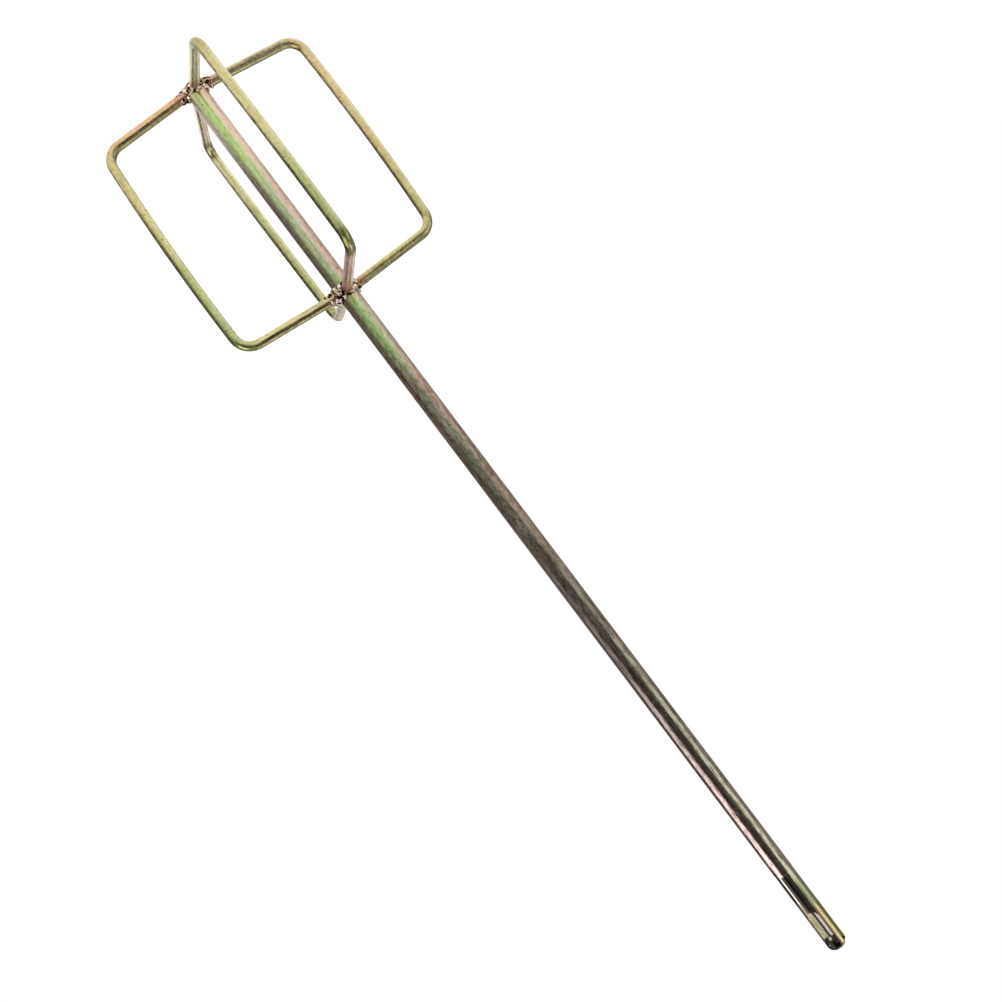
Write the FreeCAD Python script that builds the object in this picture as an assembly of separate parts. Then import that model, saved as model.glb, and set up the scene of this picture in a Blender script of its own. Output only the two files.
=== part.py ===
"""Mortar mixing paddle: a straight round bar with a slotted drill shank at its upper end and a cage
of four bent wire wings welded to its lower end.

Frame, in millimetres: the bar's axis is Z and +Z points to the shank's free end.  The origin is on
that axis where the shank begins, so the tool hangs below it as it does in a drill.
"""
import math
import os
from collections import namedtuple

import FreeCAD
import Part
from FreeCAD import Vector

# Driving dimensions, mm and degrees
SHANK_D = 10.0              # ground round shank, the size that rotary hammer chucks take
SHANK_LENGTH = 44.5         # from the shoulder to the free end
BAR_D = 10.2                # drawn bar, left a little over the shank's size
HUB_TO_TIP = 395.5          # from the upper ring of wire ends to the shank's free end
HUB_SPACING = 122.5         # between the two rings of wire ends, along the bar
BAR_END_PAST_HUB = 2.5      # the bar stops level with the lowest wires
BAR_END_CHAMFER = 0.6
SHOULDER_LENGTH = 1.0       # a slight taper from the bar down to the ground shank

WIRE_D = 5.0
BEND_R = 9.0                # centre line radius of a wing's two bends
BOW_R = 1160.0              # a wing's long side bows outward by about a millimetre
UPPER_LEG_DROP = 3.3        # the upper leg drops towards the middle of the cage as it goes out

TIP_ROUND = 2.8
LOCK_GROOVE_WIDTH = 5.6     # two closed grooves, held by the chuck's locking balls
LOCK_GROOVE_DEPTH = 1.5
LOCK_GROOVE_FROM_TIP = 6.5
LOCK_GROOVE_LENGTH = 15.3
DRIVE_GROOVE_WIDTH = 3.6    # two grooves open at the tip, held by the chuck's driving keys
DRIVE_GROOVE_DEPTH = 1.5
DRIVE_GROOVE_LENGTH = 25.0
LOCK_GROOVE_AZIMUTH = -54.0     # both kinds lie between the planes of the wings
DRIVE_GROOVE_AZIMUTH = 36.0
SEAM_AZIMUTH = -16.5             # keeps the shank's seam line clear of every groove

BEAD_LENGTH = 4.6           # a weld bead's reach along its wire, from the bar's surface
BEAD_R = 4.3                # and its radius where it meets the bar

# The wings are bent and set by hand for welding, so no two are the same.
# quarter: where the wing stands round the bar, from +X, and offset: how far it misses that place
# reach: from the bar's axis to the wire's centre line, at half the wing's height
# tilt: in its own plane, so that a positive tilt brings its lower end nearer to the bar
# rise: how steeply its lower leg climbs towards the middle of the cage as it goes out
Wing = namedtuple("Wing", "quarter offset reach tilt rise")
WINGS = {
    "front": Wing(-90.0, -1.3, 57.0, 0.9, 5.3),
    "right": Wing(0.0, 0.9, 56.9, 1.8, 5.0),
    "back": Wing(90.0, 0.4, 57.9, -1.0, 4.1),
    "left": Wing(180.0, 0.0, 57.7, -0.7, 3.7),
}

# Worked out from the driving dimensions
SHANK_TIP_Z = SHANK_LENGTH
UPPER_HUB_Z = SHANK_TIP_Z - HUB_TO_TIP
LOWER_HUB_Z = UPPER_HUB_Z - HUB_SPACING
MID_Z = (UPPER_HUB_Z + LOWER_HUB_Z) / 2
BAR_END_Z = LOWER_HUB_Z - BAR_END_PAST_HUB
X_AXIS = Vector(1, 0, 0)
Y_AXIS = Vector(0, 1, 0)
Z_AXIS = Vector(0, 0, 1)
ORIGIN = Vector(0, 0, 0)


def turned(shape, azimuth):
    """The shape, turned about the bar's axis."""
    shape.rotate(ORIGIN, Z_AXIS, azimuth)
    return shape


def edge_on_circle(shape, z, radius):
    """The edges of the shape that lie on one circle round the bar's axis."""
    found = []
    for edge in shape.Edges:
        curve = edge.Curve
        if isinstance(curve, Part.Circle) and abs(curve.Radius - radius) < 1e-4:
            if abs(curve.Center.z - z) < 1e-4:
                found.append(edge)
    return found


def lock_groove_cutter():
    """A round-bottomed tool with ball ends: the path of a ball that rolls along the groove."""
    half = LOCK_GROOVE_WIDTH / 2
    floor_x = SHANK_D / 2 - LOCK_GROOVE_DEPTH
    sagitta = math.sqrt((SHANK_D / 2) ** 2 - half ** 2) - floor_x
    ball_r = (sagitta ** 2 + half ** 2) / (2 * sagitta)
    centre_x = floor_x + ball_r
    top_z = SHANK_TIP_Z - LOCK_GROOVE_FROM_TIP - half
    bottom_z = top_z - (LOCK_GROOVE_LENGTH - LOCK_GROOVE_WIDTH)
    body = Part.makeCylinder(ball_r, top_z - bottom_z, Vector(centre_x, 0, bottom_z), Z_AXIS)
    for z in (bottom_z, top_z):
        body = body.fuse(Part.makeSphere(ball_r, Vector(centre_x, 0, z)))
    return body


def drive_groove_cutter():
    """A flat-bottomed slot, open at the tip, with a round inner end."""
    floor_x = SHANK_D / 2 - DRIVE_GROOVE_DEPTH
    half = DRIVE_GROOVE_WIDTH / 2
    end_z = SHANK_TIP_Z - DRIVE_GROOVE_LENGTH + half
    length = SHANK_TIP_Z + 1 - end_z
    slot = Part.makeBox(SHANK_D, DRIVE_GROOVE_WIDTH, length, Vector(floor_x, -half, end_z))
    return slot.fuse(Part.makeCylinder(half, SHANK_D, Vector(floor_x, 0, end_z), X_AXIS))


def make_shaft():
    """The bar, with its ground shank, the shank's four grooves and its rounded tip."""
    bar_length = -SHOULDER_LENGTH - BAR_END_Z
    bar = Part.makeCylinder(BAR_D / 2, bar_length, Vector(0, 0, BAR_END_Z), Z_AXIS)
    bar = bar.makeChamfer(BAR_END_CHAMFER, edge_on_circle(bar, BAR_END_Z, BAR_D / 2))
    shoulder_base = Vector(0, 0, -SHOULDER_LENGTH)
    shoulder = Part.makeCone(BAR_D / 2, SHANK_D / 2, SHOULDER_LENGTH, shoulder_base, Z_AXIS)
    shank = Part.makeCylinder(SHANK_D / 2, SHANK_LENGTH)
    tip_edge = edge_on_circle(shank, SHANK_TIP_Z, SHANK_D / 2)
    shank = turned(shank.makeFillet(TIP_ROUND, tip_edge), SEAM_AZIMUTH)
    for half_turn in (0.0, 180.0):
        shank = shank.cut(turned(lock_groove_cutter(), LOCK_GROOVE_AZIMUTH + half_turn))
        shank = shank.cut(turned(drive_groove_cutter(), DRIVE_GROOVE_AZIMUTH + half_turn))
    return bar.fuse([shoulder, shank])


def point(r, z):
    """A point in the XZ plane, where every wing is drawn before it is turned into place."""
    return Vector(r, 0, z)


def direction(degrees):
    """A unit vector in the XZ plane, at an angle above +X."""
    return point(math.cos(math.radians(degrees)), math.sin(math.radians(degrees)))


def bend_centre(start, leg, inward, bow_centre):
    """The centre of a bend that is tangent to a straight leg and to the inside of the bow."""
    on_line = start + inward * BEND_R
    offset = on_line - bow_centre
    along = offset.dot(leg)
    reach = (BOW_R - BEND_R) ** 2 - offset.dot(offset) + along ** 2
    return on_line + leg * (math.sqrt(reach) - along)


def arc_between(first, last, centre, radius):
    """The short arc from first to last round the centre."""
    middle = ((first - centre) + (last - centre)).normalize()
    return Part.Arc(first, centre + middle * radius, last).toShape()


def wing_path(wing):
    """A wing's centre line: lower leg, bend, bowed long side, bend, upper leg."""
    lower_start = point(0, LOWER_HUB_Z)
    upper_start = point(0, UPPER_HUB_Z)
    lower_leg = direction(wing.rise)
    upper_leg = direction(-UPPER_LEG_DROP)
    lower_inward = direction(90 + wing.rise)
    upper_inward = direction(-90 - UPPER_LEG_DROP)
    bow_centre = point(wing.reach, MID_Z) - direction(-wing.tilt) * BOW_R
    lower_bend = bend_centre(lower_start, lower_leg, lower_inward, bow_centre)
    upper_bend = bend_centre(upper_start, upper_leg, upper_inward, bow_centre)

    lower_on_leg = lower_bend - lower_inward * BEND_R
    upper_on_leg = upper_bend - upper_inward * BEND_R
    lower_on_bow = bow_centre + (lower_bend - bow_centre).normalize() * BOW_R
    upper_on_bow = bow_centre + (upper_bend - bow_centre).normalize() * BOW_R
    return Part.Wire([
        Part.makeLine(lower_start, lower_on_leg),
        arc_between(lower_on_leg, lower_on_bow, lower_bend, BEND_R),
        arc_between(lower_on_bow, upper_on_bow, bow_centre, BOW_R),
        arc_between(upper_on_bow, upper_on_leg, upper_bend, BEND_R),
        Part.makeLine(upper_on_leg, upper_start),
    ])


def make_bar_void():
    """The space that the bar takes up, a little longer than the cage."""
    return Part.makeCylinder(BAR_D / 2, HUB_SPACING + 40, Vector(0, 0, LOWER_HUB_Z - 20), Z_AXIS)


def make_wing(wing):
    """One U of round wire, with both ends coped to the bar's surface."""
    section = Part.Circle(point(0, LOWER_HUB_Z), direction(wing.rise), WIRE_D / 2)
    wire = wing_path(wing).makePipeShell([Part.Wire(section.toShape())], True, False)
    return turned(wire.cut(make_bar_void()), wing.quarter + wing.offset)


def make_quarter(quarter):
    """A quarter of the space round the cage, from the bar's end upward."""
    corner = 3 * BAR_D
    floor = Part.makePolygon([
        Vector(0, 0, BAR_END_Z),
        Vector(corner, -corner, BAR_END_Z),
        Vector(corner, corner, BAR_END_Z),
        Vector(0, 0, BAR_END_Z),
    ])
    return turned(Part.Face(floor).extrude(Vector(0, 0, HUB_SPACING + 20)), quarter)


def make_bead(wing, hub_z, leg_angle):
    """A ring of weld metal round a wire's end, trimmed to its own quarter of the bar."""
    start_x = BAR_D / 2 - 1.5
    end_x = BAR_D / 2 + BEAD_LENGTH
    crown = Vector((start_x + end_x) / 2 + 0.6, 0, (BEAD_R + WIRE_D / 2) / 2 + 0.35)
    outline = Part.Wire([
        Part.makeLine(Vector(start_x, 0, 0), Vector(start_x, 0, BEAD_R)),
        Part.Arc(Vector(start_x, 0, BEAD_R), crown, Vector(end_x, 0, WIRE_D / 2)).toShape(),
        Part.makeLine(Vector(end_x, 0, WIRE_D / 2), Vector(end_x, 0, 0)),
        Part.makeLine(Vector(end_x, 0, 0), Vector(start_x, 0, 0)),
    ])
    bead = Part.Face(outline).revolve(ORIGIN, X_AXIS, 360)
    bead = bead.cut(Part.makeCylinder(WIRE_D / 2, 3 * end_x, Vector(-end_x, 0, 0), X_AXIS))
    bead.rotate(ORIGIN, Y_AXIS, -leg_angle)
    bead.translate(Vector(0, 0, hub_z))
    bead = turned(bead, wing.quarter + wing.offset)
    return bead.common(make_quarter(wing.quarter)).cut(make_bar_void())


def save(node, shape):
    """Write one named piece, after making sure that it is a single closed solid."""
    solids = shape.Solids
    if len(solids) != 1 or not solids[0].isValid():
        raise RuntimeError(f"{node} is not one valid solid: {len(solids)}")
    solids[0].exportStep(f"parts/{node}.step")
    print(f"{node}: {solids[0].Volume:.1f} mm3")


def main():
    os.makedirs("parts", exist_ok=True)
    save("shaft", make_shaft())
    for name, wing in WINGS.items():
        save(f"wing_{name}", make_wing(wing))
        save(f"weld_upper_{name}", make_bead(wing, UPPER_HUB_Z, -UPPER_LEG_DROP))
        save(f"weld_lower_{name}", make_bead(wing, LOWER_HUB_Z, wing.rise))


main()
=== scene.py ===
import math
import random

import bmesh
import bpy
from mathutils import Matrix, Vector, noise


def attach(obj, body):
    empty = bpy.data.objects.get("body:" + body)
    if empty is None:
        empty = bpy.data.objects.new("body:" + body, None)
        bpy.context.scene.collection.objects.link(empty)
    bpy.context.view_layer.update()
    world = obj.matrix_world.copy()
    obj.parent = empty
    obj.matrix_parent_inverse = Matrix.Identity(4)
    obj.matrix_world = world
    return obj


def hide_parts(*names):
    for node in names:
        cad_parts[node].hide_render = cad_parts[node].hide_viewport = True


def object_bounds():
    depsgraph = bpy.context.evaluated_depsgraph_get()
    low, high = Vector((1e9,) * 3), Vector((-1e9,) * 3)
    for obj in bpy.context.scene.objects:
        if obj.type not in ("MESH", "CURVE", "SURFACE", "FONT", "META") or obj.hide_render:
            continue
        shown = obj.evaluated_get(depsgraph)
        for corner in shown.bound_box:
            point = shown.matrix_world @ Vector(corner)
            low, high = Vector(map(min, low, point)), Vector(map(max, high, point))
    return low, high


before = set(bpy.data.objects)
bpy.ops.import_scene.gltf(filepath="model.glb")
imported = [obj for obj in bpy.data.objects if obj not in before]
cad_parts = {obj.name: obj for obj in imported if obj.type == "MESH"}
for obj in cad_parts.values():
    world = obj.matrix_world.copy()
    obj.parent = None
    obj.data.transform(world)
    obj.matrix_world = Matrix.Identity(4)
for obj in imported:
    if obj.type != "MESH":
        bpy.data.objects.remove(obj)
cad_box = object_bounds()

# The camera, in metres and degrees: it looks level at the upright tool and is rolled, so that the
# cage lies at the upper left of the picture and the shank at the lower right. Its azimuth and
# heading are measured from -Y and +Y; the lens and the sensor are in millimetres.
CAMERA_DISTANCE = 0.56046
CAMERA_AZIMUTH = 13.46
CAMERA_HEIGHT = -0.22329
CAMERA_HEADING = -13.33
CAMERA_PITCH = -0.194
CAMERA_ROLL = 142.99
CAMERA_LENS = 41.64
SENSOR_WIDTH = 36.0
CLIP_RANGE = (0.01, 100.0)

# The tool's own sizes, in metres and degrees
BAR_R = 0.0051
WIRE_R = 0.0025
UPPER_HUB_Z = -0.351
LOWER_HUB_Z = -0.4735
BAR_END_Z = -0.476
UPPER_LEG_DROP = 3.3        # the slope of every upper leg, down from the bar
LEG_REACH = 0.050           # where a wing's legs end and its bends begin, from the bar's axis
LOCK_GROOVE_AZIMUTH = -54.0

BODY = "root"
# Each wing's azimuth from +X and the rise of its lower leg, in degrees
WINGS = {"front": (-91.3, 5.3), "right": (0.9, 5.0), "back": (90.4, 4.1), "left": (180.0, 3.7)}


# ---------------------------------------------------------------- node trees

class Nodes:
    """A node tree with short calls for the nodes that the materials share."""

    def __init__(self, owner):
        owner.use_nodes = True
        self.tree = owner.node_tree
        self.tree.nodes.clear()

    def set(self, socket, value):
        if isinstance(value, bpy.types.NodeSocket):
            self.tree.links.new(value, socket)
        else:
            socket.default_value = value

    def add(self, kind, inputs=None, **settings):
        node = self.tree.nodes.new(kind)
        for key, value in settings.items():
            setattr(node, key, value)
        for key, value in (inputs or {}).items():
            self.set(node.inputs[key], value)
        return node

    def math(self, operation, a, b=0.0):
        return self.add("ShaderNodeMath", {0: a, 1: b}, operation=operation).outputs[0]

    def plus(self, a, b):
        return self.math("ADD", a, b)

    def minus(self, a, b):
        return self.math("SUBTRACT", a, b)

    def times(self, a, b):
        return self.math("MULTIPLY", a, b)

    def apart(self, a, b):
        """How far one value is from the other."""
        return self.math("ABSOLUTE", self.minus(a, b))

    def swing(self, value, amount=1.0):
        """A noise from 0 to 1 as a swing about zero, of this amount from end to end."""
        swing = self.minus(value, 0.5)
        return swing if amount == 1.0 else self.times(swing, amount)

    def range(self, value, low, high, to_low=0.0, to_high=1.0):
        """A smooth step of the value from low to high."""
        inputs = {"Value": value, "From Min": low, "From Max": high,
                  "To Min": to_low, "To Max": to_high}
        node = self.add("ShaderNodeMapRange", inputs, interpolation_type="SMOOTHSTEP")
        return node.outputs["Result"]

    def between(self, factor, a, b):
        """A number that goes from a to b."""
        return self.add("ShaderNodeMix", {0: factor, 2: a, 3: b}, data_type="FLOAT").outputs[0]

    def mix(self, factor, a, b, blend="MIX"):
        node = self.add("ShaderNodeMix", data_type="RGBA", blend_type=blend)
        self.set(node.inputs["Factor"], factor)
        self.set(node.inputs[6], a)
        self.set(node.inputs[7], b)
        return node.outputs[2]

    def ramp(self, factor, stops, interpolation="EASE"):
        node = self.add("ShaderNodeValToRGB", {"Fac": factor})
        node.color_ramp.interpolation = interpolation
        elements = node.color_ramp.elements
        elements[0].position, elements[0].color = stops[0]
        elements[1].position, elements[1].color = stops[-1]
        for place, colour in stops[1:-1]:
            elements.new(place).color = colour
        return node.outputs["Color"]

    def scaled(self, vector, scale):
        return self.add("ShaderNodeMapping", {"Vector": vector, "Scale": scale}).outputs["Vector"]

    def combined(self, x, y):
        return self.add("ShaderNodeCombineXYZ", {"X": x, "Y": y}).outputs[0]

    def length(self, vector):
        node = self.add("ShaderNodeVectorMath", {0: vector}, operation="LENGTH")
        return node.outputs["Value"]

    def dot(self, a, b):
        node = self.add("ShaderNodeVectorMath", {0: a, 1: b}, operation="DOT_PRODUCT")
        return node.outputs["Value"]

    def noise(self, vector, scale, detail=4.0, roughness=0.55):
        inputs = {"Vector": vector, "Scale": scale, "Detail": detail, "Roughness": roughness}
        return self.add("ShaderNodeTexNoise", inputs).outputs["Fac"]

    def grain(self, point, across, along, detail=4.0, roughness=0.55):
        """Noise drawn out along the bar, with its cells to the metre across and along it."""
        return self.noise(self.scaled(point, (across, across, along)), 1.0, detail, roughness)

    def bump(self, height, distance, normal=None):
        node = self.add("ShaderNodeBump", {"Height": height, "Distance": distance, "Strength": 1.0})
        if normal is not None:
            self.set(node.inputs["Normal"], normal)
        return node.outputs["Normal"]

    def finish_metal(self, colour, roughness, normal, metallic=1.0):
        """Ends a material in a metal shader."""
        inputs = {"Base Color": colour, "Metallic": metallic, "Roughness": roughness,
                  "Normal": normal}
        shader = self.add("ShaderNodeBsdfPrincipled", inputs)
        self.add("ShaderNodeOutputMaterial", {"Surface": shader.outputs[0]})


def rgb(red, green, blue):
    """A colour given as it looks on a screen, 0 to 255, as the linear colour that shaders use."""
    linear = [((c / 255 + 0.055) / 1.055) ** 2.4 for c in (red, green, blue)]
    return (*linear, 1.0)


def grey(level):
    return (level, level, level, 1.0)


def unit(azimuth, elevation):
    """A unit vector; azimuth in degrees from +X, elevation above the horizon."""
    a, e = math.radians(azimuth), math.radians(elevation)
    return Vector((math.cos(a) * math.cos(e), math.sin(a) * math.cos(e), math.sin(e)))


# ---------------------------------------------------------------- shared by the materials

# A pair of heights, radii or shares of a turn is a soft edge: where its layer is nothing, then
# where it is full. Lengths are in metres, and a noise's scale is in cells to the metre.

def place(n):
    """The surface point in the tool's frame, its parts, its distance from the axis, its normal."""
    coordinates = n.add("ShaderNodeTexCoord")
    point = coordinates.outputs["Object"]
    x, y, z = n.add("ShaderNodeSeparateXYZ", {"Vector": point}).outputs
    radius = n.math("SQRT", n.plus(n.times(x, x), n.times(y, y)))
    return point, x, y, z, radius, coordinates.outputs["Normal"]


def near_hubs(n, z, reach):
    """1 at either ring of welds, falling to 0 at that distance along the bar."""
    upper = n.range(n.apart(z, UPPER_HUB_Z), reach, 0.0)
    lower = n.range(n.apart(z, LOWER_HUB_Z), reach, 0.0)
    return n.math("MAXIMUM", upper, lower)


def specks(n, point, scale, share, inner=0.12, outer=0.32):
    """Small scattered spots: 1 in a spot, 0 outside. The share is how many cells have one."""
    cells = n.add("ShaderNodeTexVoronoi", {"Vector": point, "Scale": scale})
    pick = n.add("ShaderNodeSeparateColor", {"Color": cells.outputs["Color"]}).outputs[0]
    spot = n.range(cells.outputs["Distance"], outer, inner)
    return n.times(n.math("LESS_THAN", pick, share), spot)


# ---------------------------------------------------------------- the bar

# Chromate colours of each stretch of the bar, in order round it, with painted reflections in them
LOWER_CAGE = ((200, 172, 152), (218, 178, 164), (216, 188, 168), (206, 212, 160), (174, 202, 120),
              (166, 196, 116), (166, 172, 132), (160, 148, 134), (178, 158, 148))
UPPER_CAGE = ((168, 148, 130), (178, 148, 128), (200, 174, 156), (196, 188, 166), (168, 184, 140),
              (150, 168, 118), (158, 154, 124), (150, 132, 114), (150, 130, 114))
COLLAR = ((180, 158, 144), (184, 168, 148), (200, 194, 162), (188, 216, 154), (152, 194, 108),
          (138, 168, 98), (150, 148, 106), (156, 138, 112), (150, 130, 110))
MIDDLE = ((212, 178, 156), (210, 172, 150), (190, 160, 142), (172, 160, 142), (148, 154, 126),
          (134, 132, 110), (150, 128, 112), (188, 154, 138), (180, 156, 138))
UPPER = ((204, 176, 156), (212, 184, 162), (184, 184, 160), (192, 192, 166), (150, 134, 118),
         (158, 128, 124), (222, 204, 204), (226, 194, 182), (196, 168, 152))
SHANK = ((184, 178, 130), (196, 192, 142), (178, 184, 148), (134, 140, 110), (146, 136, 132),
         (62, 54, 52), (78, 70, 66), (92, 82, 76), (84, 70, 62))
TIP = ((130, 122, 66), (166, 162, 84), (240, 228, 172), (116, 92, 70), (146, 136, 132),
       (60, 52, 46), (96, 84, 70), (250, 242, 228), (130, 118, 104))

# Where the bands begin, in degrees of azimuth, and the share of a turn from each to the next
BANDS_AZIMUTH = -166.5
BAND_STEP = 0.05
# The bands of the side that doesn't show: where each lies, and which visible band it repeats
HIDDEN_BANDS = ((0.60, 6), (0.75, 4), (0.90, 2), (1.0, 0))

# The stretches that lie over MIDDLE, each by the heights of its soft edge
STRETCHES = (
    (-0.250, -0.140, UPPER), (-0.290, -0.325, COLLAR),
    (-0.350, -0.362, UPPER_CAGE), (-0.395, -0.445, LOWER_CAGE),
)

# How far the bands wander round the bar and round the shank, in turns, and along both, in metres
BAR_WANDER = 0.11
SHANK_WANDER = 0.02
HEIGHT_WANDER = 0.03

# The shank's marks: the height where TIP takes over, the painted highlight line along the ground
# surface, the dark nose beyond the lock groove, and where the ground surface begins sharply at the
# shoulder
TIP_HEIGHT = (0.015, 0.021)
SHANK_HIGHLIGHT = 0.376
SHANK_HIGHLIGHT_EDGE = (0.021, 0.012)
NOSE_HEIGHT = (0.0385, 0.0410)
NOSE_SIDE = (0.200, 0.230)
SHARP_SIDE = (0.272, 0.292)
SHARP_START = (-0.0006, 0.0006)
SLOW_START = (0.0, 0.009)

# The grooves' plating: its depth and its two ends
GROOVE_RADIUS = (0.00497, 0.00487)
GROOVE_START = (0.0160, 0.0175)
GROOVE_END = (0.0424, 0.0416)
# In a groove, places across count a half turn as 1, with the lock groove's middle at 0.5
HALF_TURN_LENGTH = 0.014
# The lock groove's painted shade under its edge and painted highlight along that edge, then its
# dark end round a painted highlight spot
WALL_SHADE_LINE = 0.445
WALL_SHADE_EDGE = (0.085, 0.030)
GROOVE_HIGHLIGHT_EDGE = (0.405, 0.385)
DARK_END = (0.0360, 0.0367)
END_HIGHLIGHT_HEIGHT = 0.0375
END_HIGHLIGHT_EDGE = (0.0011, 0.0006)
DRIVE_GROOVE = (0.22, 0.28)


def plating_and_reflection_bands(n, turn, colours):
    """Nine bands of colour round one half of the bar, chromate tint with painted reflections; the
    other half repeats some of them.
    """
    stops = [(0.0, colours[0])]
    stops += [(BAND_STEP * (k + 1), colour) for k, colour in enumerate(colours)]
    stops += [(where, colours[k]) for where, k in HIDDEN_BANDS]
    return n.ramp(turn, [(where, rgb(*colour)) for where, colour in stops])


def bar_colours(n, point, x, y, z):
    """The drawn bar's colour, the shank's colour, and 1 on the shank's sharp side. Both are bands
    of chromate colour with painted reflections, and the shank has a painted highlight line. The bar
    is greenest at the cage, brown in the middle and paler at the top."""
    turn = n.plus(n.math("ARCTAN2", y, x), math.radians(-BANDS_AZIMUTH))
    turn = n.math("DIVIDE", turn, math.tau)
    ragged = n.grain(point, 120, 16, 5.0, 0.65)
    bar_turn = n.math("FRACT", n.plus(turn, n.swing(ragged, BAR_WANDER)))
    shank_turn = n.math("FRACT", n.plus(turn, n.swing(ragged, SHANK_WANDER)))
    z = n.plus(z, n.swing(n.noise(point, 150.0), HEIGHT_WANDER))

    bar = plating_and_reflection_bands(n, bar_turn, MIDDLE)
    for nothing, full, colours in STRETCHES:
        bar = n.mix(n.range(z, nothing, full), bar, plating_and_reflection_bands(n, bar_turn, colours))

    # A painted highlight: a bright line along the shank's ground surface
    highlight_line = n.range(n.apart(shank_turn, SHANK_HIGHLIGHT), *SHANK_HIGHLIGHT_EDGE)
    ground = n.mix(highlight_line, plating_and_reflection_bands(n, shank_turn, SHANK), rgb(255, 250, 242))
    shank = n.mix(n.range(z, *TIP_HEIGHT), ground, plating_and_reflection_bands(n, shank_turn, TIP))
    nose = n.times(n.range(z, *NOSE_HEIGHT), n.range(shank_turn, *NOSE_SIDE))
    shank = n.mix(nose, shank, rgb(50, 46, 38))
    return bar, shank, n.range(shank_turn, *SHARP_SIDE)


def groove_colour(n, point, x, y, z):
    """The grooves' plating: a lock groove has a painted highlight along one edge and painted shade
    below it, is gold on the floor, and dark round a painted highlight spot at its end; a drive
    groove is plain olive gold."""
    turn = n.minus(n.math("ARCTAN2", y, x), math.radians(LOCK_GROOVE_AZIMUTH - 90))
    across = n.math("FRACT", n.plus(n.math("DIVIDE", turn, math.pi), 2.0))
    gold = n.ramp(n.noise(point, 260.0, 2.0), [
        (0.38, rgb(216, 216, 158)), (0.50, rgb(255, 242, 204)), (0.62, rgb(255, 222, 198)),
    ])
    # Painted shade below the groove's edge, and a painted highlight along the edge
    wall_shade = n.range(n.apart(across, WALL_SHADE_LINE), *WALL_SHADE_EDGE)
    colour = n.mix(wall_shade, gold, rgb(34, 24, 22))
    colour = n.mix(n.range(across, *GROOVE_HIGHLIGHT_EDGE), colour, rgb(255, 242, 242))
    colour = n.mix(n.range(z, *DARK_END), colour, rgb(50, 43, 32))
    # A painted highlight spot at the groove's end
    from_end_highlight = n.combined(n.swing(across, HALF_TURN_LENGTH), n.minus(z, END_HIGHLIGHT_HEIGHT))
    spot = n.range(n.length(from_end_highlight), *END_HIGHLIGHT_EDGE)
    colour = n.mix(spot, colour, rgb(255, 250, 206))
    in_drive = n.range(n.apart(across, 0.5), *DRIVE_GROOVE)
    return n.mix(in_drive, colour, rgb(172, 166, 92))


def bar_finish():
    material = bpy.data.materials.new("chromated_bar")
    n = Nodes(material)
    point, x, y, z, radius, _ = place(n)
    colour, shank, sharp_side = bar_colours(n, point, x, y, z)
    up_the_bar = n.range(z, -0.40, -0.25)

    def growing(mask, low, high):
        """The mask, with its strength going from low at the cage to high up the bar."""
        return n.times(mask, n.range(up_the_bar, 0.0, 1.0, low, high))

    burnt = n.times(near_hubs(n, z, 0.010), n.noise(point, 260.0, 3.0))
    colour = n.mix(burnt, colour, rgb(206, 148, 118))
    stains = n.range(n.grain(point, 420, 60, 5.0, 0.7), 0.50, 0.66)
    colour = n.mix(growing(stains, 0.25, 0.6), colour, rgb(122, 82, 66))
    greens = n.range(n.grain(point, 300, 34, 3.0), 0.54, 0.68, 0.0, 0.45)
    colour = n.mix(greens, colour, rgb(128, 150, 92))
    streaks = n.grain(point, 560, 44, 5.0, 0.75)
    dark = growing(n.range(streaks, 0.52, 0.66), 0.10, 0.8)
    colour = n.mix(dark, colour, rgb(70, 56, 46))
    pale = growing(n.range(streaks, 0.45, 0.33), 0.05, 0.6)
    colour = n.mix(pale, colour, rgb(232, 222, 210))
    mottle = n.grain(point, 800, 330, 3.0)
    colour = n.mix(n.range(mottle, 0.40, 0.56, 0.22, 0.0), colour, rgb(238, 222, 206))
    shade = growing(n.range(mottle, 0.50, 0.66), 0.08, 0.34)
    colour = n.mix(shade, colour, rgb(96, 74, 62))
    pits = n.math("MAXIMUM", specks(n, point, 420.0, 0.07), specks(n, point, 1000.0, 0.07))
    colour = n.mix(n.times(pits, 0.7), colour, rgb(64, 48, 40))
    scratches = specks(n, n.scaled(point, (700, 700, 110)), 1.0, 0.035, 0.05, 0.2)
    colour = n.mix(n.times(scratches, 0.7), colour, rgb(226, 220, 208))

    # The ground shank is laid over the wear, so that its painted dark reflection bands stay dark
    worn = n.range(streaks, 0.35, 0.65, 1.0, 0.62)
    shank = n.mix(1.0, shank, worn, "MULTIPLY")
    shank = n.mix(n.times(scratches, 0.4), shank, rgb(200, 192, 176))
    on_shank = n.between(sharp_side, n.range(z, *SLOW_START), n.range(z, *SHARP_START))
    colour = n.mix(on_shank, colour, shank)

    in_groove = n.times(n.range(radius, *GROOVE_RADIUS), n.range(z, *GROOVE_START))
    in_groove = n.times(in_groove, n.range(z, *GROOVE_END))
    colour = n.mix(n.times(in_groove, 0.9), colour, groove_colour(n, point, x, y, z))

    smear = n.grain(point, 240, 40)
    roughness = n.plus(n.range(z, -0.30, -0.13, 0.30, 0.17), n.range(smear, 0.3, 0.75, -0.05, 0.08))
    roughness = n.plus(roughness, n.times(in_groove, 0.35))
    metallic = n.range(in_groove, 0.0, 1.0, 1.0, 0.2)
    height = n.plus(n.times(streaks, 0.8), n.times(pits, -1.5))
    normal = n.bump(n.minus(height, scratches), 0.00004)
    normal = n.bump(n.grain(point, 160, 30, 3.0), 0.00035, normal)
    n.finish_metal(colour, roughness, normal, metallic)
    return material


# ---------------------------------------------------------------- the wires

# How much painted shade darkens each wing's bends
BEND_SHADE = {"front": 0.40, "right": 0.12, "back": 0.40, "left": 0.10}

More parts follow.
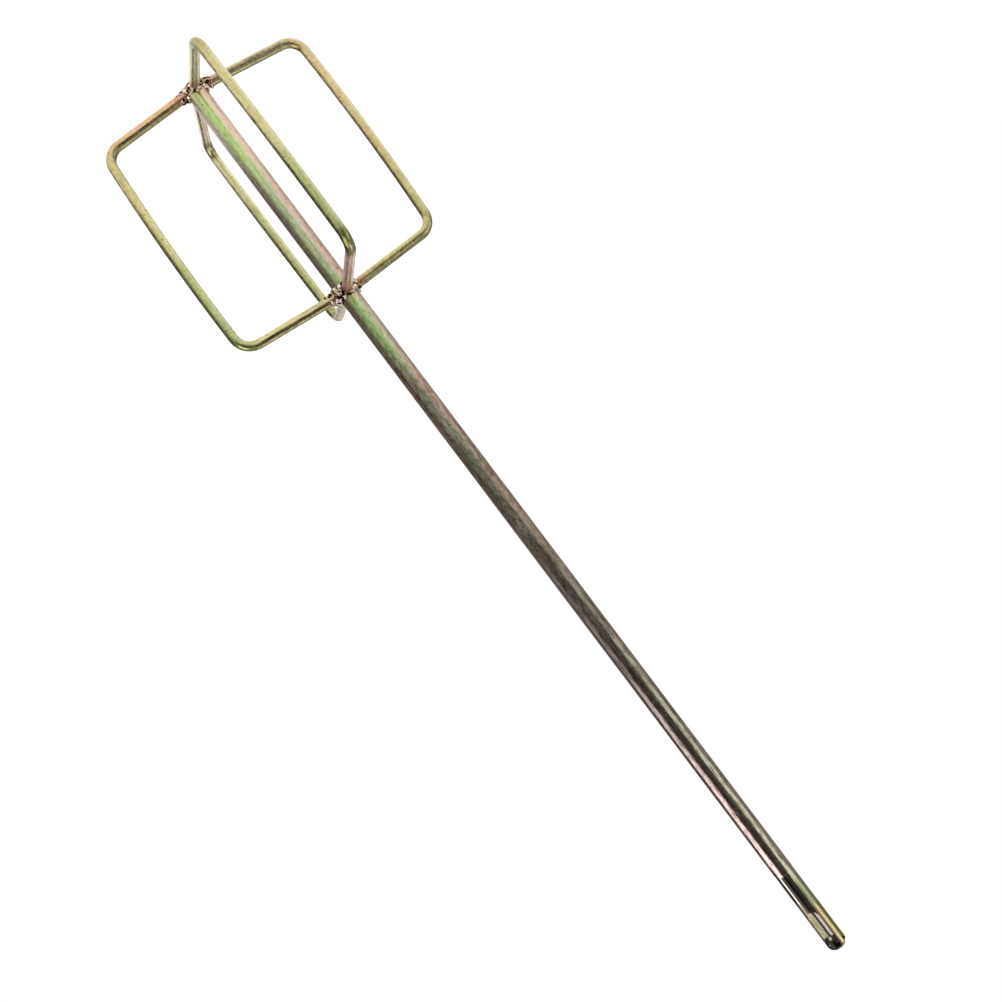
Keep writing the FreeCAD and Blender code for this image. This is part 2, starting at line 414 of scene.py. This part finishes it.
# A painted dark reflection line along each wing's legs: how high it lies on the wire (the normal's
# rise), how strong it is, and its colour
DARK_REFLECTION_LINES = {
    "front": (0.10, 0.20, (116, 56, 50)), "right": (0.44, 0.70, (92, 60, 26)),
    "back": (0.00, 0.08, (120, 90, 70)), "left": (0.00, 0.70, (84, 66, 34)),
}

# Plating colours of each wing, with painted light on its legs: both faces of its lower legs and of
# its upper legs, the one towards the cage's open end first and on most wings painted lighter as lit
# from below, and the lower and upper half of its long side
WIRE_TINTS_AND_LIGHT = {
    "front": (((222, 232, 188), (234, 226, 188)), ((252, 208, 202), (254, 214, 204)),
              ((204, 194, 138), (166, 174, 104))),
    "right": (((222, 180, 138), (172, 166, 116)), ((214, 206, 156), (150, 146, 96)),
              ((202, 192, 128), (170, 180, 112))),
    "back": (((228, 214, 184), (240, 222, 196)), ((222, 206, 182), (224, 206, 174)),
             ((216, 208, 154), (176, 178, 112))),
    "left": (((206, 196, 150), (160, 156, 112)), ((204, 198, 136), (156, 150, 104)),
             ((204, 184, 132), (192, 184, 118))),
}

# The heights between which the legs' and the long sides' colours change over
LEGS_CHANGE = (-0.42, -0.40)
SIDES_CHANGE = (-0.455, -0.375)
# The long sides' painted light and shade: painted lighter towards this azimuth, darker away from it
LIT_SIDE_AZIMUTH = -166    # the long sides are paler towards this azimuth and darker away from it


def wire_colour(n, wing, point, z, radius, facing):
    lower_leg, upper_leg, side = WIRE_TINTS_AND_LIGHT[wing]
    up = n.add("ShaderNodeSeparateXYZ", {"Vector": facing}).outputs[2]
    ragged = n.noise(point, 120.0, 3.0)

    # The legs go from the lower face's colour to the upper face's: tint and painted light
    across = n.range(n.plus(up, n.swing(ragged)), -0.25, 0.55)
    low = n.mix(across, rgb(*lower_leg[0]), rgb(*lower_leg[1]))
    high = n.mix(across, rgb(*upper_leg[0]), rgb(*upper_leg[1]))
    legs = n.mix(n.range(z, *LEGS_CHANGE), low, high)
    # A painted dark reflection line along the legs
    rise, strength, dark_line_colour = DARK_REFLECTION_LINES[wing]
    off_dark_line = n.math("ABSOLUTE", n.plus(n.minus(up, rise), n.swing(ragged, 0.4)))
    legs = n.mix(n.range(off_dark_line, 0.42, 0.10, 0.0, strength), legs, rgb(*dark_line_colour))

    drift = n.swing(n.noise(point, 30.0, 3.0), 0.14)
    change = n.range(n.plus(z, drift), *SIDES_CHANGE)
    sides = n.mix(change, rgb(*side[0]), rgb(*side[1]))
    patches = n.noise(point, 34.0, 4.0)
    sides = n.mix(n.range(patches, 0.56, 0.70, 0.0, 0.5), sides, rgb(222, 166, 138))
    sides = n.mix(n.range(patches, 0.44, 0.32, 0.0, 0.5), sides, rgb(150, 170, 100))
    # Painted light and shade on the long sides: a painted highlight towards the lit side, painted
    # shade along the far edge
    lit_side_facing = n.plus(n.dot(facing, unit(LIT_SIDE_AZIMUTH, 0)), n.swing(ragged, 0.5))
    sides = n.mix(n.range(lit_side_facing, 0.15, 0.75, 0.0, 0.35), sides, rgb(236, 234, 206))
    sides = n.mix(n.range(lit_side_facing, -0.45, -0.88, 0.0, 0.9), sides, rgb(66, 68, 34))
    colour = n.mix(n.range(radius, LEG_REACH + 0.006, LEG_REACH - 0.004), sides, legs)

    # Painted shade on the bends
    bend = n.math("MAXIMUM", n.range(z, UPPER_HUB_Z - 0.020, UPPER_HUB_Z - 0.008),
                  n.range(z, LOWER_HUB_Z + 0.020, LOWER_HUB_Z + 0.008))
    bend = n.times(bend, n.range(radius, LEG_REACH - 0.006, LEG_REACH + 0.001))
    return n.mix(n.times(bend, BEND_SHADE[wing]), colour, rgb(92, 90, 44))


def wire_finish(wing):
    material = bpy.data.materials.new(f"chromated_wire_{wing}")
    n = Nodes(material)
    point, _, _, z, radius, facing = place(n)
    colour = wire_colour(n, wing, point, z, radius, facing)
    burnt = n.times(n.range(radius, 0.017, 0.007), n.noise(point, 300.0, 2.0))
    colour = n.mix(burnt, colour, rgb(176, 110, 100))

    # Drawing lines run along the wire: up the long sides, and outward along the legs
    on_side = n.grain(point, 900, 60, 4.0, 0.7)
    on_leg = n.noise(n.combined(n.times(radius, 70.0), n.times(z, 800.0)), 1.0, 4.0, 0.7)
    streaks = n.between(n.range(radius, LEG_REACH, LEG_REACH - 0.004), on_side, on_leg)
    colour = n.mix(n.range(streaks, 0.50, 0.72, 0.0, 0.4), colour, rgb(118, 108, 62))
    mottle = n.noise(point, 620.0, 3.0)
    colour = n.mix(n.range(mottle, 0.40, 0.56, 0.20, 0.0), colour, rgb(240, 226, 190))
    colour = n.mix(n.range(mottle, 0.50, 0.66, 0.0, 0.12), colour, rgb(128, 112, 60))
    pits = n.math("MAXIMUM", specks(n, point, 480.0, 0.08), specks(n, point, 1100.0, 0.06))
    colour = n.mix(n.times(pits, 0.65), colour, rgb(92, 66, 42))

    roughness = n.range(n.noise(point, 130.0, 4.0), 0.3, 0.75, 0.22, 0.38)
    normal = n.bump(n.plus(n.times(streaks, 0.6), n.times(pits, -1.5)), 0.00004)
    normal = n.bump(n.noise(point, 110.0, 3.0), 0.0004, normal)
    n.finish_metal(colour, roughness, normal)
    return material


def give(node, material):
    """A CAD node keeps its shape and gets a better finish."""
    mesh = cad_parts[node].data
    mesh.materials.clear()
    mesh.materials.append(material)


# ---------------------------------------------------------------- the weld beads

# Each bead's reach along its wire, in metres, and how heavy it is
BEADS = {
    "upper": {"front": (0.0024, 0.7), "right": (0.0060, 1.2),
              "back": (0.0045, 1.0), "left": (0.0032, 0.7)},
    "lower": {"front": (0.0028, 0.7), "right": (0.0044, 0.8),
              "back": (0.0044, 0.9), "left": (0.0040, 0.9)},
}

# Runs of metal beside a joint, in metres: where each begins and ends across the bar and along it,
# how many drops it has, and their radius
RUNS = {
    ("upper", "right"): (((-0.0030, -0.0062), (0.0004, 0.0016), 7, 0.0013),
                         ((-0.0034, -0.0058), (0.0030, 0.0024), 4, 0.0009)),
    ("upper", "front"): (((0.0040, -0.0030), (-0.0026, -0.0034), 14, 0.0013),),
}

# What the beads' random numbers start from, counted on by wing
RING_SEEDS = {"upper": 10, "lower": 20}

FOOT_DROPS = 15
THROAT_DROPS = 26
SKIN_VOXEL = 0.00021
# Two sizes of ripple on a bead: cells to the metre, how far it lifts the skin in metres, and how
# much it counts in the height that the material reads
RIPPLE = (480.0, 0.00036, 0.75)
GRIT = (1500.0, 0.00012, 0.3)


def weld_finish():
    """Plated weld metal with painted light: pale painted highlights on its crests, and nearly black
    painted shade in the hollows that beads record.
    """
    material = bpy.data.materials.new("plated_weld")
    n = Nodes(material)
    point = n.add("ShaderNodeTexCoord").outputs["Object"]
    crest = n.add("ShaderNodeAttribute", attribute_name="crest").outputs["Fac"]
    crest = n.plus(crest, n.swing(n.noise(point, 1600.0), 0.3))
    # Painted highlights on the crests and painted shade in the hollows
    colour = n.ramp(crest, [
        (0.26, rgb(16, 13, 15)), (0.42, rgb(76, 62, 58)), (0.52, rgb(206, 186, 164)),
        (0.62, rgb(240, 230, 212)), (0.74, rgb(255, 252, 246)),
    ])
    tint = n.ramp(n.noise(point, 240.0, 3.0), [
        (0.36, rgb(240, 212, 208)), (0.50, rgb(250, 244, 234)), (0.64, rgb(222, 222, 180)),
    ])
    colour = n.mix(0.8, colour, tint, "MULTIPLY")
    roughness = n.range(n.noise(point, 500.0, 3.0), 0.3, 0.7, 0.12, 0.36)
    normal = n.bump(n.noise(point, 1800.0, 4.0), 0.00014)
    n.finish_metal(colour, roughness, normal)
    return material


def on_bar(hub_z, azimuth, across, along, out=0.0):
    """A point on the bar's surface, so far round it and along it from the middle of a joint."""
    spoke = unit(azimuth + math.degrees(across / BAR_R), 0)
    return spoke * (BAR_R + out) + Vector((0, 0, hub_z + along))


class Joint:
    """One place where a wire meets the bar, and the drops of metal that its bead is made of."""

    def __init__(self, ring, wing, seed):
        azimuth, rise = WINGS[wing]
        self.azimuth = azimuth
        self.hub_z = UPPER_HUB_Z if ring == "upper" else LOWER_HUB_Z
        self.reach, self.weight = BEADS[ring][wing]
        self.leg = unit(azimuth, -UPPER_LEG_DROP if ring == "upper" else rise)
        self.side = unit(azimuth + 90, 0)
        self.up = self.leg.cross(self.side)
        self.rng = random.Random(seed)
        self.drops = []

    def drop(self, centre, radius):
        """Adds a drop, lifted where it would hang below the bar's end."""
        lowest = BAR_END_Z - 0.0003
        centre.z = max(centre.z, lowest + radius)
        self.drops.append((centre, radius))

    def round_wire(self, out, ring, angle):
        """A point so far out along the wire, and so far from its middle at this angle."""
        spoke = self.side * math.sin(angle) + self.up * math.cos(angle)
        return Vector((0, 0, self.hub_z)) + self.leg * (BAR_R + out) + spoke * ring

    def lay_foot(self):
        """The ring of ripples where the bead meets the bar."""
        for k in range(FOOT_DROPS):
            angle = math.tau * k / FOOT_DROPS + self.rng.uniform(-0.18, 0.18)
            ring = WIRE_R + self.weight * self.rng.uniform(0.0004, 0.0013)
            centre = on_bar(self.hub_z, self.azimuth, ring * math.sin(angle),
                            ring * math.cos(angle), self.rng.uniform(-0.0003, 0.0005))
            self.drop(centre, self.weight * self.rng.uniform(0.0009, 0.0015))

    def lay_throat(self):
        """Smaller drops that climb the wire as far as the bead reaches."""
        for _ in range(THROAT_DROPS):
            share = self.rng.random()
            radius = self.weight * (0.0014 - 0.0008 * share) * self.rng.uniform(0.7, 1.15)
            angle = self.rng.uniform(0, math.tau)
            self.drop(self.round_wire(self.reach * share, WIRE_R + 0.2 * radius, angle), radius)

    def lay_run(self, across, along, count, radius):
        """A run of drops over the bar beside the joint, from one offset to the other."""
        for k in range(count):
            share = k / (count - 1)
            offsets = [start + (end - start) * share + self.rng.uniform(-0.0003, 0.0003)
                       for start, end in (across, along)]
            self.drop(on_bar(self.hub_z, self.azimuth, *offsets),
                      radius * self.rng.uniform(0.8, 1.2))

    def spatter(self):
        """A few specks of metal on the bar above the joint, and on the wire beyond it."""
        for _ in range(3):
            centre = on_bar(self.hub_z, self.azimuth, self.rng.uniform(-0.003, 0.003),
                            self.rng.uniform(0.005, 0.012))
            self.drop(centre, self.rng.uniform(0.00025, 0.00038))
        for _ in range(2):
            out = self.rng.uniform(self.reach + 0.001, 0.013)
            angle = self.rng.uniform(0, math.tau)
            self.drop(self.round_wire(out, WIRE_R, angle), self.rng.uniform(0.00025, 0.00036))


def skin_over(name, drops):
    """One closed skin over all the drops, as an object."""
    shape = bmesh.new()
    for centre, radius in drops:
        ball = bmesh.ops.create_icosphere(shape, subdivisions=2, radius=radius)
        bmesh.ops.translate(shape, verts=ball["verts"], vec=centre)
    mesh = bpy.data.meshes.new(name)
    shape.to_mesh(mesh)
    shape.free()
    bead = bpy.data.objects.new(name, mesh)
    bpy.context.scene.collection.objects.link(bead)
    remesh = bead.modifiers.new("skin", "REMESH")
    remesh.mode, remesh.voxel_size = "VOXEL", SKIN_VOXEL
    smooth = bead.modifiers.new("settle", "SMOOTH")
    smooth.factor, smooth.iterations = 0.5, 2
    bpy.context.view_layer.update()
    evaluated = bead.evaluated_get(bpy.context.evaluated_depsgraph_get())
    skin = bpy.data.meshes.new_from_object(evaluated)
    bead.modifiers.clear()
    bead.data = skin
    skin.name = name
    return bead


def roughen(skin):
    """Ripples the skin; its points record how high their ripple stands, for the material."""
    crest = skin.attributes.new("crest", "FLOAT", "POINT")
    normals = [vertex.normal.copy() for vertex in skin.vertices]
    for vertex, normal, record in zip(skin.vertices, normals, crest.data):
        coarse, fine = noise.noise(vertex.co * RIPPLE[0]), noise.noise(vertex.co * GRIT[0])
        record.value = 0.5 + RIPPLE[2] * coarse + GRIT[2] * fine
        vertex.co += normal * (RIPPLE[1] * coarse + GRIT[1] * fine)
    skin.polygons.foreach_set("use_smooth", [True] * len(skin.polygons))


def make_bead(ring, wing, seed, material):
    joint = Joint(ring, wing, seed)
    joint.lay_foot()
    joint.lay_throat()
    for run in RUNS.get((ring, wing), ()):
        joint.lay_run(*run)
    joint.spatter()
    bead = skin_over(f"bead_{ring}_{wing}", joint.drops)
    roughen(bead.data)
    bead.data.materials.append(material)
    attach(bead, BODY)
    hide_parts(f"weld_{ring}_{wing}")


# ---------------------------------------------------------------- stage

# The soft boxes that the metal reflects: azimuth and half-width, the elevations where the light
# begins, is full and ends, all in degrees, and its strength
SOFT_BOXES = (
    (-8, 26, 6, 24, 44, 1.95),
    (-133, 21, 0, 20, 44, 1.05),
    (178, 34, -6, 2, 44, 0.2),
    (97, 26, -6, 2, 40, 0.62),
)
BOX_SIDE_BLUR = 5
BOX_TOP_BLUR = 6

FLOOR_HALF = 30.0
# The floor's glow: how bright it is at each share of this distance from the tool
GLOW_SPAN = 4.0
FLOOR_GLOW = ((0.0, 0.95), (0.11, 0.90), (0.17, 0.66), (0.24, 0.46), (0.42, 0.25), (1.0, 0.20))
# Brighter strips of floor: azimuth, the angles from it where it is full and ends, and brightness
FLOOR_STRIPS = ((-133, 22, 40, 0.75), (98, 18, 32, 0.74))
# Painted shade keeps the floor's glow dark on one side, as a black card would: the same angles,
# the distances from the tool where it begins and is full, and the share of light it leaves
FLOOR_SHADE = (21, 32, 76)
FLOOR_SHADE_DISTANCE = (0.03, 0.22)
FLOOR_SHADE_LEAVES = 0.05


def towards(n, vector, azimuth, inner, outer):
    """1 where the vector's azimuth is within the inner angle of this one, 0 outside the outer."""
    ahead = n.dot(vector, unit(azimuth, 0))
    aside = n.math("ABSOLUTE", n.dot(vector, unit(azimuth + 90, 0)))
    away = n.math("ARCTAN2", aside, ahead)
    return n.range(away, math.radians(outer), math.radians(inner))


def make_floor(level):
    """A plain white floor that lights the tool from below, brightest round the tool."""
    h = FLOOR_HALF
    mesh = bpy.data.meshes.new("floor")
    mesh.from_pydata([(-h, -h, level), (h, -h, level), (h, h, level), (-h, h, level)],
                     [], [(0, 1, 2, 3)])
    floor = bpy.data.objects.new("floor", mesh)
    bpy.context.scene.collection.objects.link(floor)
    material = bpy.data.materials.new("floor_white")
    n = Nodes(material)
    flat = n.scaled(n.add("ShaderNodeTexCoord").outputs["Object"], (1, 1, 0))
    distance = n.length(flat)
    glow = n.ramp(n.math("DIVIDE", distance, GLOW_SPAN),
                  [(share, grey(glows)) for share, glows in FLOOR_GLOW], "LINEAR")
    for azimuth, inner, outer, brightness in FLOOR_STRIPS:
        strip = towards(n, flat, azimuth, inner, outer)
        glow = n.mix(strip, glow, grey(brightness), "LIGHTEN")
    # Painted shade on one side of the floor's glow
    floor_shade = n.times(towards(n, flat, *FLOOR_SHADE), n.range(distance, *FLOOR_SHADE_DISTANCE))
    glow = n.mix(1.0, glow, n.range(floor_shade, 0.0, 1.0, 1.0, FLOOR_SHADE_LEAVES), "MULTIPLY")
    path = n.add("ShaderNodeLightPath")
    seen = n.mix(path.outputs["Is Camera Ray"], glow, grey(1.0))
    shining = n.add("ShaderNodeEmission", {"Color": seen})
    matt = n.add("ShaderNodeBsdfDiffuse", {"Color": grey(0.3)})
    both = n.add("ShaderNodeAddShader", {0: shining.outputs[0], 1: matt.outputs[0]})
    n.add("ShaderNodeOutputMaterial", {"Surface": both.outputs[0]})
    mesh.materials.append(material)


def soft_box(n, direction, up, azimuth, half_width, begins, full, ends, strength):
    """The light that one soft box sends along a direction."""
    def height(elevation):
        return math.sin(math.radians(elevation))

    across = towards(n, direction, azimuth, half_width - BOX_SIDE_BLUR, half_width + BOX_SIDE_BLUR)
    rise = n.range(up, height(begins), height(full))
    fall = n.range(up, height(ends + BOX_TOP_BLUR), height(ends))
    return n.times(n.times(n.times(across, rise), fall), strength)


def make_world():
    """A dim room, white to the camera, with soft boxes and a paler ceiling that metal reflects."""
    world = bpy.data.worlds.new("studio")
    bpy.context.scene.world = world
    n = Nodes(world)
    direction = n.add("ShaderNodeTexCoord").outputs["Generated"]
    up = n.dot(direction, (0, 0, 1))
    room = n.plus(n.range(up, 0.0, 0.2, 0.20, 0.10), n.range(up, 0.30, 0.90, 0.0, 0.30))
    for box in SOFT_BOXES:
        room = n.plus(room, soft_box(n, direction, up, *box))
    path = n.add("ShaderNodeLightPath")
    seen = n.mix(path.outputs["Is Camera Ray"], room, grey(1.0))
    background = n.add("ShaderNodeBackground", {"Color": seen})
    n.add("ShaderNodeOutputWorld", {"Surface": background.outputs[0]})


def make_lights(level):
    """A weak round lamp high above the tool."""
    data = bpy.data.lights.new("overhead", "AREA")
    data.shape, data.size, data.energy = "DISK", 1.2, 6.0
    light = bpy.data.objects.new("overhead", data)
    bpy.context.scene.collection.objects.link(light)
    light.location = (0, 0, level + 2.2)


def make_camera():
    azimuth = math.radians(CAMERA_AZIMUTH)
    heading, pitch = math.radians(CAMERA_HEADING), math.radians(CAMERA_PITCH)
    forward = Vector((math.sin(heading) * math.cos(pitch), math.cos(heading) * math.cos(pitch),
                      math.sin(pitch)))
    data = bpy.data.cameras.new("camera")
    data.lens = CAMERA_LENS
    data.sensor_width = SENSOR_WIDTH
    data.clip_start, data.clip_end = CLIP_RANGE
    camera = bpy.data.objects.new("camera", data)
    bpy.context.scene.collection.objects.link(camera)
    spot = Vector((math.sin(azimuth) * CAMERA_DISTANCE, -math.cos(azimuth) * CAMERA_DISTANCE,
                   CAMERA_HEIGHT))
    roll = Matrix.Rotation(math.radians(CAMERA_ROLL), 3, "Z")
    turn = forward.to_track_quat("-Z", "Y").to_matrix() @ roll
    camera.matrix_world = Matrix.Translation(spot) @ turn.to_4x4()
    bpy.context.scene.camera = camera


def build():
    weld = weld_finish()
    give("shaft", bar_finish())
    for index, wing in enumerate(WINGS):
        give(f"wing_{wing}", wire_finish(wing))
        for ring, seed in RING_SEEDS.items():
            make_bead(ring, wing, seed + index, weld)


bpy.context.scene.view_settings.view_transform = "Standard"
make_camera()
make_floor(cad_box[0].z)
make_world()
make_lights(cad_box[0].z)
build()
